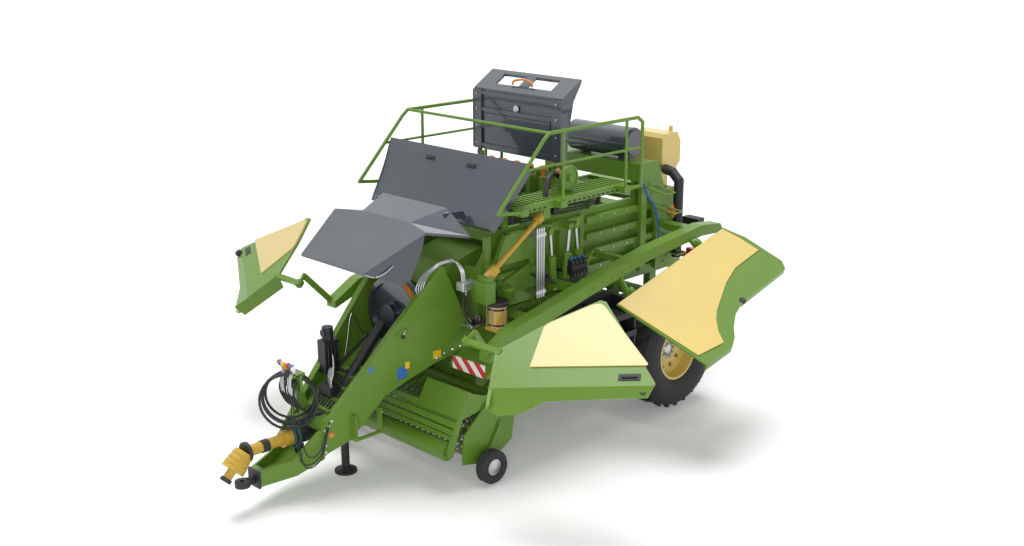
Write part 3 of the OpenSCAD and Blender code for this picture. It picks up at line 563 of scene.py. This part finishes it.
class BALER_OT_drawbar_fittings(bpy.types.Operator):
    """Makes the bolts, blank stickers and bright parts on the drawbar"""
    bl_idname = "baler.drawbar_fittings"
    bl_label = "Drawbar fittings"

    def execute(self, context):
        yaw = PLATE_YAW
        plates = (((-453, 431, 1113), (0.115, 0.13), "blue"), ((-520, 441, 1185), (0.055, 0.075), "yellow"),
            ((-891, 492, 1225), (0.10, 0.085), "yellow"),
                  ((-85, 381, 1231), (0.06, 0.06), "blue"))
        for i, (place, (wide, tall), colour) in enumerate(plates):
            for side, sign in SIDES:
                plate = block((wide, 0.003, tall), ORIGIN, 0.001)
                plate.matrix_world = mirrored(Matrix.Translation(at(*place) + Vector((0.0, 0.0015,
                    0.0))) @ Matrix.Rotation(yaw, 4, "Z"), sign)
                settle(plate, "sticker_%d_%s" % (i, side), "frame", MATERIALS[colour])
        heads = []
        for side, sign in SIDES:
            for x, z in ((470, 700), (430, 745), (390, 790), (470, 620), (470, 540), (470, 470), (-900, 1180),
                (-1000, 1215), (-1100, 1240), (-1200, 1255), (-1300, 1275)):
                back = (500 - x) / 1000
                head = turned([(0.0, 0.0), (0.017, 0.0), (0.017, 0.011), (0.013, 0.014), (0.0, 0.014)], ORIGIN,
                    (0, 1, 0), 6)
                head.matrix_world = mirrored(Matrix.Translation(at(500, 300,
                    z) + Vector((-back * math.cos(yaw), -back * math.sin(yaw), 0))) @ Matrix.Rotation(yaw, 4,
                    "Z") @ Matrix.Rotation(math.radians(-90), 4, "X"), sign)
                heads.append(head)
        settle(merged(heads), "drawbar_bolts", "frame", MATERIALS["steel"])
        disc = turned([(0.0, 0.0), (0.026, 0.0), (0.030, 0.003), (0.028, 0.007), (0.0, 0.009)], ORIGIN, UP, 24)
        discs = repeat(disc, [mirrored(Matrix.Translation(at(401, 314, 640)) @ Matrix.Rotation(yaw, 4,
            "Z") @ Matrix.Rotation(math.radians(-90), 4, "X"), sign) for side, sign in SIDES])
        settle(merged(discs), "drawbar_reflectors", "frame", MATERIALS["orange"])
        ring = turned([(0.399, -0.028), (0.408, -0.028), (0.408, 0.028), (0.399, 0.028), (0.399, -0.028)],
            at(-720, 0, 1600), (1, 0, 0), 64)
        settle(ring, "flywheel_band", "flywheel", MATERIALS["orange"])
        bands = [turned([(a, -0.012), (a + 0.007, -0.012), (a + 0.007, 0.012), (a, 0.012), (a, -0.012)],
            at(x, 0, 610), (1, 0, 0), 40) for x, a in ((636, 0.1175), (668, 0.0838))]
        settle(merged(bands), "shaft_bands", "frame", MATERIALS["teal"])
        return {"FINISHED"}


def coupling(i):
    """The foot and the lean of one coupling on the hose post."""
    lean = Vector((0.55 + 0.1 * (i % 2), (i - 2.5) * 0.22, 0.9)).normalized()
    return at(610 + 14 * (i % 3), -90 + 36 * i, 1292), lean


class BALER_OT_hoses(bpy.types.Operator):
    """Makes the hoses that are clipped along the drawbar and their couplings"""
    bl_idname = "baler.hoses"
    bl_label = "Hoses"

    def execute(self, context):
        s = context.scene.baler_fittings
        lines = []
        for i in range(s.hoses):
            y = -105 + 210 * i / max(1, s.hoses - 1)
            lines.append(tube([at(640, y, 1240), at(690, y * 1.1, 1180), at(655, y * 1.15, 1000),
                at(520, y * 1.2, 860), at(380, y * 1.2, 800 + 6 * (i % 2)), at(150, y * 1.2 - 20, 930),
                at(-120, y - 60, 1095)], 0.0105))
        settle(merged(lines), "drawbar_hoses", "frame", MATERIALS["rubber"])
        for colour, picks in (("red", (0, 3)), ("blue", (1, 4)), ("yellow", (2,)), ("white", (5,))):
            caps = []
            for i in picks:
                root, lean = coupling(i)
                caps.append(turned([(0.0, 0.055), (0.016, 0.055), (0.021, 0.065), (0.021, 0.115), (0.026, 0.120),
                    (0.026, 0.135), (0.015, 0.145), (0.0, 0.146)], root, lean, 16))
            settle(merged(caps), "coupling_caps_" + colour, "frame", MATERIALS[colour])
        stems = []
        for i in range(6):
            root, lean = coupling(i)
            stems.append(turned([(0.0, 0.0), (0.018, 0.0), (0.018, 0.016), (0.012, 0.020), (0.012, 0.060),
                (0.0, 0.060)], root, lean, 6))
            stems.append(tube([root + lean * 0.02, root + Vector((0.05, 0.004 * i, 0.03)),
                root + Vector((0.09, 0.006 * i, -0.06)), root + Vector((0.085, 0.008 * i, -0.18))], 0.008))
        settle(merged(stems), "coupling_stems", "frame", MATERIALS["steel"])
        return {"FINISHED"}


class BALER_OT_body_fittings(bpy.types.Operator):
    """Makes the gauge hubs, the hood's bent bar and the wall's small parts"""
    bl_idname = "baler.body_fittings"
    bl_label = "Body fittings"

    def execute(self, context):
        for side, sign in SIDES:
            low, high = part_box("gauge_" + side)
            middle = (low + high) / 2
            half = (high.y - low.y) / 2
            cap = turned([(0.0, 0.018), (0.03, 0.017), (0.045, 0.006), (0.088, 0.0), (0.094, -0.012), (0.0, -0.012)],
                Vector((middle.x, middle.y + sign * half * 0.72, middle.z)), (0, sign, 0), 40)
            settle(cap, "gauge_hub_" + side, "gauge_" + side, MATERIALS["steel"])
        bar = tube([at(-290, -530, 2330), at(-150, -532, 2268), at(-70, -510, 2254), at(-40, -430, 2262),
            at(-36, 0, 2266), at(-40, 430, 2262), at(-70, 510, 2254), at(-150, 532, 2268), at(-290, 530, 2330)],
            0.012)
        settle(bar, "hood_grip", "front_hood", MATERIALS["steel"])
        lid = turned([(0.0, 0.0), (0.117, 0.0), (0.121, 0.008), (0.121, 0.036), (0.112, 0.046), (0.0, 0.050)],
            at(POT_X, POT_Y, 1778), (0, 0, 1), 40)
        settle(lid, "grease_lid", "frame", MATERIALS["black"])
        return {"FINISHED"}


def bolts(places, axis, radius=0.014):
    """Hexagon heads at the given places, all facing one way."""
    head = turned([(0.0, 0.0), (radius, 0.0), (radius, radius * 0.7), (radius * 0.8, radius * 0.85),
        (0.0, radius * 0.85)], ORIGIN, axis, 6)
    return repeat(head, [Matrix.Translation(p) for p in places])


class BALER_OT_wall_plumbing(bpy.types.Operator):
    """Makes the pipes, hose bundles and fittings along the side walls"""
    bl_idname = "baler.wall_plumbing"
    bl_label = "Wall plumbing"

    def execute(self, context):
        # bright pipes that arch over behind the drawbar plate
        pipes = []
        for i in range(4):
            step, lift = 20 * i, 57 - 13 * i
            route = ((-700 - step, 446 + 3 * i, 1890), (-715 - step + lift, 448 + 3 * i, 1940 + step + lift),
                (-945 + lift * 0.6, 470, 2165 + lift * 0.6), (-985 + lift * 0.2, 545, 2215 + lift * 0.6),
                     (-1005 - step * 0.5, 640, 2235 + lift * 0.5), (-1015 - step * 0.7, 735,
                         2180), (-1018 - step * 0.7, 760, 2070), (-1020 - step * 0.7, 768, 1990))
            pipes.append(tube([at(*q) for q in route], 0.007))
        settle(merged(pipes), "arched_pipes", "frame", MATERIALS["steel"])
        # hose bundle hanging from the manifold down to the grease tank
        lines = []
        for i in range(7):
            a = 2.1 * i
            dx, dy = 46 * math.cos(a), 40 * math.sin(a)
            lines.append(tube([at(-1040 + dx * 0.4, 770 + dy * 0.4, 1960), at(-1035 + dx, 800 + dy, 1900),
                at(-1010 + dx * 1.3, 850 + dy, 1790), at(-1040 + dx, 860 + dy * 0.8, 1680),
                at(-1120 + dx * 0.8, 830 + dy * 0.7, 1600), at(-1230 + dx * 0.5, 770 + dy * 0.5, 1560)], 0.0115))
        settle(merged(lines), "wall_hoses", "frame", MATERIALS["rubber"])
        ends = []
        for i in range(7):
            a = 2.1 * i
            ends.append(turned([(0.0, -0.03), (0.013, -0.03), (0.013, 0.0), (0.019, 0.004), (0.019, 0.022),
                (0.012, 0.026), (0.012, 0.05), (0.0, 0.05)],
                at(-1040 + 18 * math.cos(a), 770 + 16 * math.sin(a), 1945), (0.1, 0.1, 1), 12))
        ends.append(block((0.20, 0.11, 0.09), at(-1075, 768, 2010), 0.008))
        ends.append(block((0.30, 0.16, 0.03), at(-1250, 728, 1545), 0.006))
        ends += [block((0.05, 0.06, 0.08), at(-1150 - 60 * k, 745, 1595), 0.006) for k in range(3)]
        settle(merged(ends), "hose_ends", "frame", MATERIALS["steel"])
        # motor beside the grease tank, with its ribs
        ribs = [(0.0, 0.0), (0.062, 0.0)]
        for k in range(6):
            ribs += [(0.074, 0.016 + 0.024 * k), (0.074, 0.026 + 0.024 * k), (0.062, 0.028 + 0.024 * k),
                (0.062, 0.038 + 0.024 * k)]
        ribs += [(0.050, 0.17), (0.0, 0.175)]
        motor = turned(ribs, at(-1560, 880, 1770), (0.2, 0.25, 1), 28)
        foot = block((0.16, 0.24, 0.03), at(-1560, 840, 1755), 0.006)
        settle(merged([motor, foot]), "wall_motor", "frame", MATERIALS["green"])
        # long lines under the walkway on both sides
        for side, sign in SIDES:
            rows = []
            for k in range(3):
                z = 2560 + 34 * k
                rows.append(tube([at(-1735, sign * (750 + 8 * k), z), at(-2070, sign * (754 + 8 * k), z - 26),
                    at(-2400, sign * (750 + 8 * k), z), at(-2780, sign * (754 + 8 * k), z - 30),
                    at(-3165, sign * (750 + 8 * k), z)], 0.010))
            rows += [block((0.03, 0.05, 0.20), at(x, sign * 757, 2640), 0.005) for x in (-1750, -2400, -3150)]
            settle(merged(rows), "walkway_lines_" + side, "frame", MATERIALS["rubber"])
        # bent hose from the walkway to the knotters
        hose = [(-2080, 900, 2710), (-2120, 890, 2800), (-2180, 860, 2900), (-2260, 825, 2985), (-2370, 800, 3005),
            (-2465, 800, 2950)]
        settle(tube([at(*q) for q in hose], 0.030), "knotter_hose", "frame", MATERIALS["rubber"])
        blue = [tube([at(-3905 - o, 784, 2660), at(-3985 - o, 785, 2520), at(-4110 - o, 786, 2360),
            at(-4190 - o, 785, 2200), at(-4230 - o, 785, 2040), at(-4240 - o, 785, 1850)], 0.008) for o in (0, 24)]
        settle(merged(blue), "arch_lines", "frame", MATERIALS["blue"])
        return {"FINISHED"}


class BALER_OT_wall_fittings(bpy.types.Operator):
    """Makes the bolts, walkway slots, knobs and valves on the walls"""
    bl_idname = "baler.wall_fittings"
    bl_label = "Wall fittings"

    def execute(self, context):
        for side, sign in SIDES:
            spots = [at(x, sign * 720, z) for z in (1560, 1960, 2380) for x in range(-2840, -1500,
                120) if x < -1720 or z < 2300]
            spots += [at(x, sign * 730, z) for z in (1587, 1789, 1970, 2171, 2370) for x in range(-4380, -3000, 230)]
            settle(merged(bolts(spots, (0, sign, 0), 0.012)), "wall_bolts_" + side, "frame",
                MATERIALS["steel"])
            arch = [at(-4350 + 8 * k, sign * 780, 1620 + 110 * k) for k in range(4)] + [at(-4270 + 60 * k,
                sign * 780, 2120 + 130 * k) for k in range(5)]
            settle(merged(bolts(arch, (0, sign, 0), 0.016)), "arch_bolts_" + side, "frame",
                MATERIALS["green"])
            beam = [at(-2400 - 160 * k, sign * 1360, 1812 + 30.5 * k) for k in range(6)]
            settle(merged(bolts(beam, (0, sign, 0), 0.011)), "beam_bolts_" + side, "frame",
                MATERIALS["green"])
            slot = block((0.046, 0.004, 0.022), ORIGIN, 0.0015)
            slots = repeat(slot, [Matrix.Translation(at(-1640 - 78 * k, sign * 1050.5,
                2742)) for k in range(21) if not 5 <= k <= 7])
            settle(merged(slots), "walkway_slots_" + side, "frame", MATERIALS["black"])
        # drive wheel on the knotter shaft's end
        rim = turned([(0.075, -0.02), (0.135, -0.02), (0.140, -0.012), (0.140, 0.012), (0.135, 0.02), (0.120, 0.02),
            (0.116, 0.006), (0.040, 0.006), (0.034, 0.045), (0.0, 0.048)], at(-2480, 905, 2960), (0, 1, 0), 40)
        stand = block((0.06, 0.16, 0.20), at(-2480, 830, 2900), 0.01)
        settle(merged([rim, stand]), "knotter_wheel", "frame", MATERIALS["green"])
        knob = turned([(0.0, 0.0), (0.018, 0.0), (0.018, 0.074), (0.044, 0.080), (0.052, 0.096), (0.046, 0.118),
            (0.024, 0.132), (0.0, 0.134)], ORIGIN, UP, 20)
        knobs = repeat(knob, [Matrix.Translation(at(-2690, -525 + 210 * k, 2850)) for k in range(6)])
        settle(merged(knobs), "knotter_knobs", "frame", MATERIALS["orange"])
        valve = turned([(0.0, -0.05), (0.030, -0.05), (0.034, -0.02), (0.052, -0.014), (0.052, 0.014), (0.034, 0.02),
            (0.030, 0.06), (0.018, 0.066), (0.018, 0.10), (0.0, 0.10)], at(-4480, 800, 2215), (0.3, 0.2, 1), 20)
        arm = block((0.05, 0.17, 0.05), at(-4480, 727, 2215), 0.006)
        settle(merged([valve, arm]), "rear_valve", "frame", MATERIALS["orange"])
        return {"FINISHED"}


class BALER_OT_wall_cylinders(bpy.types.Operator):
    """Makes the pressure cylinders, valve bank and curved links under the walkways"""
    bl_idname = "baler.wall_cylinders"
    bl_label = "Wall cylinders"

    def execute(self, context):
        for side, sign in SIDES:
            barrels, rods = [], []
            for x, lean in ((-2330, 0.10), (-2520, -0.10), (-2760, 0.12)):
                axis = Vector((lean, 0, 1)).normalized()
                foot = at(x, sign * 830, 1760)
                barrels.append(turned([(0.0, -0.04), (0.030, -0.04), (0.036, -0.02), (0.036, 0.0), (0.046, 0.004),
                    (0.046, 0.30), (0.052, 0.305), (0.052, 0.34), (0.030, 0.35), (0.0, 0.35)], foot, axis, 28))
                barrels.append(block((0.07, 0.23, 0.06), foot + Vector((0, -sign * 0.07, -0.03)), 0.008))
                tip = foot + axis * 0.63
                rods.append(turned([(0.0, 0.35), (0.021, 0.35), (0.021, 0.62), (0.0, 0.62)], foot, axis, 24))
                barrels.append(turned([(0.0, -0.03), (0.040, -0.03), (0.042, 0.0), (0.040, 0.03), (0.0, 0.03)], tip,
                    (0, sign, 0), 24))
                barrels.append(block((0.06, 0.19, 0.05), tip + Vector((0, -sign * 0.09, 0)), 0.006))
            settle(merged(barrels), "wall_barrels_" + side, "frame", MATERIALS["green"])
            settle(merged(rods), "wall_rods_" + side, "frame", MATERIALS["steel"])
            bank = [block((0.26, 0.10, 0.11), at(-2640, sign * 900, 1900), 0.008)]
            bank += [block((0.05, 0.08, 0.06), at(-2740 + 66 * k, sign * 900, 1985), 0.006) for k in range(4)]
            bank.append(block((0.20, 0.27, 0.03), at(-2640, sign * 778, 1860), 0.005))
            settle(merged(bank), "valve_bank_" + side, "frame", MATERIALS["black"])
            caps = [turned([(0.0, 0.0), (0.016, 0.0), (0.018, 0.02), (0.012, 0.03), (0.0, 0.031)],
                at(-2740 + 66 * k, sign * 900, 2014), (0, 0, 1), 16) for k in range(4)]
            settle(merged(caps), "valve_caps_" + side, "frame", MATERIALS["blue"])
            lines = []
            for k in range(5):
                x = -2740 + 50 * k
                lines.append(tube([at(x, sign * 948, 1900), at(x + 20, sign * 985, 1870),
                    at(x + 90 + 20 * k, sign * 960, 1800), at(x + 220 + 30 * k, sign * 900, 1785 + 12 * k),
                    at(x + 330 + 30 * k, sign * 820, 1820 + 16 * k),
                    at(x + 380 + 20 * k, sign * 735, 1860 + 16 * k)], 0.009))
            settle(merged(lines), "bank_hoses_" + side, "frame", MATERIALS["rubber"])
            link = tube([at(-2890, sign * 690, 1690), at(-2892, sign * 770, 1740), at(-2905, sign * 800, 1850),
                at(-2950, sign * 805, 1950), at(-3040, sign * 780, 2000), at(-3110, sign * 715, 1985)], 0.022)
            settle(link, "wall_link_" + side, "frame", MATERIALS["green"])
        # bands and rods of the grease pot
        bands = [turned([(0.106, -0.010), (0.1085, -0.010), (0.1085, 0.010), (0.106, 0.010), (0.106, -0.010)],
            at(POT_X, POT_Y, z), (0, 0, 1), 40) for z in (1575, 1745)]
        settle(merged(bands), "pot_bands", "frame", MATERIALS["black"])
        stays = []
        for a in (0.3, 1.6, 2.9, 4.2, 5.4):
            route = ((112, 1560), (113, 1670), (112, 1780))
            stays.append(tube([at(POT_X + r * math.cos(a), POT_Y + r * math.sin(a), z) for r, z in route], 0.005))
        settle(merged(stays), "pot_stays", "frame", MATERIALS["steel"])
        return {"FINISHED"}


class BALER_OT_hood_trim(bpy.types.Operator):
    """Makes the handles, seals and bolts of the dark hoods"""
    bl_idname = "baler.hood_trim"
    bl_label = "Hood trim"

    def execute(self, context):
        # handles on the upper panel, which leans back
        lean = Matrix.Rotation(math.radians(-33.9), 3, "Y")
        foot, along, out = at(-1216, 0, 2620), Vector((-0.558, 0, 0.830)), Vector((0.830, 0, 0.558))
        parts = []
        for y in (-330, 330):
            where = foot + along * 0.63 + Vector((0, y / 1000, 0)) + out * -0.004
            dish = block((0.008, 0.15, 0.055), where, 0.003, lean)
            grip = block((0.014, 0.11, 0.020), where + out * 0.008, 0.005, lean)
            parts += [dish, grip]
        settle(merged(parts), "panel_handles", "frame", MATERIALS["black"])
        # lifting handle in the knotter hood's top slot and its bare round plate
        grip = tube([at(-2668, -150, 3850), at(-2680, -150, 3885), at(-2690, -110, 3905), at(-2690, 110, 3905),
            at(-2680, 150, 3885), at(-2668, 150, 3850)], 0.013)
        settle(grip, "knotter_grip", "knotter_hood", MATERIALS["orange"])
        plate = turned([(0.0, 0.0), (0.040, 0.0), (0.042, 0.004), (0.036, 0.008), (0.0, 0.009)], at(-2577, 0, 3600),
            (1, 0, 0), 28)
        settle(plate, "knotter_plate", "knotter_hood", MATERIALS["steel"])
        # joint lines across the knotter hood's face and its bolts
        lines = [block((0.006, 1.02, 0.008), at(-2577, 0, z), 0.002) for z in (3392, 3506)]
        settle(merged(lines), "knotter_lines", "knotter_hood", MATERIALS["black"])
        heads = bolts([at(-2564, y, z) for y in (-630, 630) for z in (3150, 3350, 3550, 3720)], (1, 0, 0), 0.012)
        settle(merged(heads), "knotter_bolts", "knotter_hood", MATERIALS["steel"])
        # inner ends of the wind guard's plate
        for side, sign in SIDES:
            sheet = block((0.022, 0.138, 0.285), at(-676.5, sign * 571, 885), 0.004,
                Matrix.Rotation(math.radians(-29.8), 3, "Y"))
            settle(sheet, "guard_plate_" + side, "wind_guard", MATERIALS["green"])
        return {"FINISHED"}


class BALER_OT_drawbar_lines(bpy.types.Operator):
    """Makes the stand, the hanging cables and the fittings round the valve block"""
    bl_idname = "baler.drawbar_lines"
    bl_label = "Drawbar lines"

    def execute(self, context):
        stand = [tube([at(-250, -310, 1030), at(-330, -330, 1300), at(-400, -350, 1560), at(-420, -352, 1600)],
            0.008), tube([at(-420, -352, 1600), at(-470, -340, 1480), at(-540, -320, 1280), at(-570, -310, 1180)],
            0.008)]
        settle(merged(stand), "rod_stand", "frame", MATERIALS["steel"])
        loops = []
        for k, (drop, reach) in enumerate(((360, 0), (410, 34), (470, -30))):
            loops.append(tube([at(630, 70 + 24 * k, 1215), at(700 + reach, 120 + 20 * k, 1080),
                at(745 + reach, 190 + 16 * k, 800), at(735 + reach, 245 + 12 * k, 560),
                at(690 + reach, 285 + 8 * k, drop), at(600, 322 + 6 * k, drop + 20),
                at(520, 345 + 4 * k, drop + 160), at(470, 330, 640 + 30 * k), at(420, 314, 740 + 20 * k)], 0.006))
        settle(merged(loops), "hanging_cables", "frame", MATERIALS["rubber"])
        knots = []
        for k in range(9):
            a = 0.7 * k
            knots.append(tube([at(70 + 12 * k, -140 + 22 * k, 1000),
                at(74 + 12 * k, -140 + 22 * k, 1070 + 10 * math.sin(a * 2)),
                at(30 + 10 * k, -150 + 18 * k, 1120 + 18 * math.cos(a)),
                at(-30 + 6 * k, -170 + 6 * k, 1130 + 18 * k), at(-60 + 5 * k, -206, 1120 + 22 * k)], 0.009))
        settle(merged(knots[::2]), "valve_pipes", "frame", MATERIALS["steel"])
        settle(merged(knots[1::2]), "valve_hoses", "frame", MATERIALS["rubber"])
        nuts = [turned([(0.0, 0.0), (0.017, 0.0), (0.017, 0.018), (0.012, 0.022), (0.012, 0.036), (0.0, 0.036)],
            at(70 + 12 * k, -140 + 22 * k, 1008), (0, 0, 1), 6) for k in range(9)]
        settle(merged(nuts), "valve_nuts", "frame", MATERIALS["steel"])
        tower = [tube([at(-100 + 40 * k, -195, 1100), at(-95 + 40 * k, -180, 1240), at(-95 + 40 * k, -190, 1390)],
            0.010) for k in range(4)]
        settle(merged(tower), "tower_hoses", "frame", MATERIALS["rubber"])
        for side, sign in SIDES:
            lever = tube([at(-505, sign * 442, 1560), at(-500, sign * 462, 1590), at(-470, sign * 478, 1575),
                at(-440, sign * 484, 1535)], 0.008)
            settle(lever, "plate_lever_" + side, "frame", MATERIALS["steel"])
            ball = turned([(0.0, -0.022), (0.012, -0.020), (0.022, -0.008), (0.024, 0.004), (0.016, 0.018),
                (0.0, 0.024)], at(-436, sign * 485, 1528), (0, 0, 1), 20)
            settle(ball, "lever_ball_" + side, "frame", MATERIALS["black"])
        return {"FINISHED"}


class BalerFittings(bpy.types.PropertyGroup):
    lugs: IntProperty(name="Lugs", description="Lugs on each half of a main tyre", default=26, min=8, max=40)
    lug_height: FloatProperty(name="Lug height", description="Height of the tyre's lugs", subtype="DISTANCE",
        unit="LENGTH", default=0.032, min=0.01, max=0.05)
    hoses: IntProperty(name="Hoses", description="Hoses clipped along the drawbar", default=6, min=1, max=8)


CLASSES = (BalerFinishes, BalerFittings, BalerStudio, BALER_OT_finishes, BALER_OT_tyres, BALER_OT_flap_fittings,
    BALER_OT_drawbar_fittings, BALER_OT_hoses, BALER_OT_body_fittings, BALER_OT_wall_plumbing,
    BALER_OT_wall_fittings, BALER_OT_wall_cylinders, BALER_OT_hood_trim, BALER_OT_drawbar_lines, BALER_OT_stage)
STEPS = ("finishes", "tyres", "flap_fittings", "drawbar_fittings", "hoses", "body_fittings", "wall_plumbing",
    "wall_fittings", "wall_cylinders", "hood_trim", "drawbar_lines", "stage")


class BALER_PT_panel(bpy.types.Panel):
    """Lists the baler's steps and settings"""
    bl_idname = "BALER_PT_panel"
    bl_label = "Large square baler"
    bl_space_type = "VIEW_3D"
    bl_region_type = "UI"
    bl_category = "Baler"

    def draw(self, context):
        for group in (context.scene.baler_finishes, context.scene.baler_fittings, context.scene.baler_studio):
            for key in group.__annotations__:
                self.layout.prop(group, key)
        for step in STEPS:
            self.layout.operator("baler." + step)


def register():
    for c in (*CLASSES, BALER_PT_panel):
        bpy.utils.register_class(c)
    bpy.types.Scene.baler_finishes = PointerProperty(type=BalerFinishes)
    bpy.types.Scene.baler_fittings = PointerProperty(type=BalerFittings)
    bpy.types.Scene.baler_studio = PointerProperty(type=BalerStudio)


def unregister():
    del bpy.types.Scene.baler_studio
    del bpy.types.Scene.baler_fittings
    del bpy.types.Scene.baler_finishes
    for c in reversed((*CLASSES, BALER_PT_panel)):
        bpy.utils.unregister_class(c)


def main():
    register()
    for step in STEPS:
        getattr(bpy.ops.baler, step)()


if __name__ == "__main__":
    main()
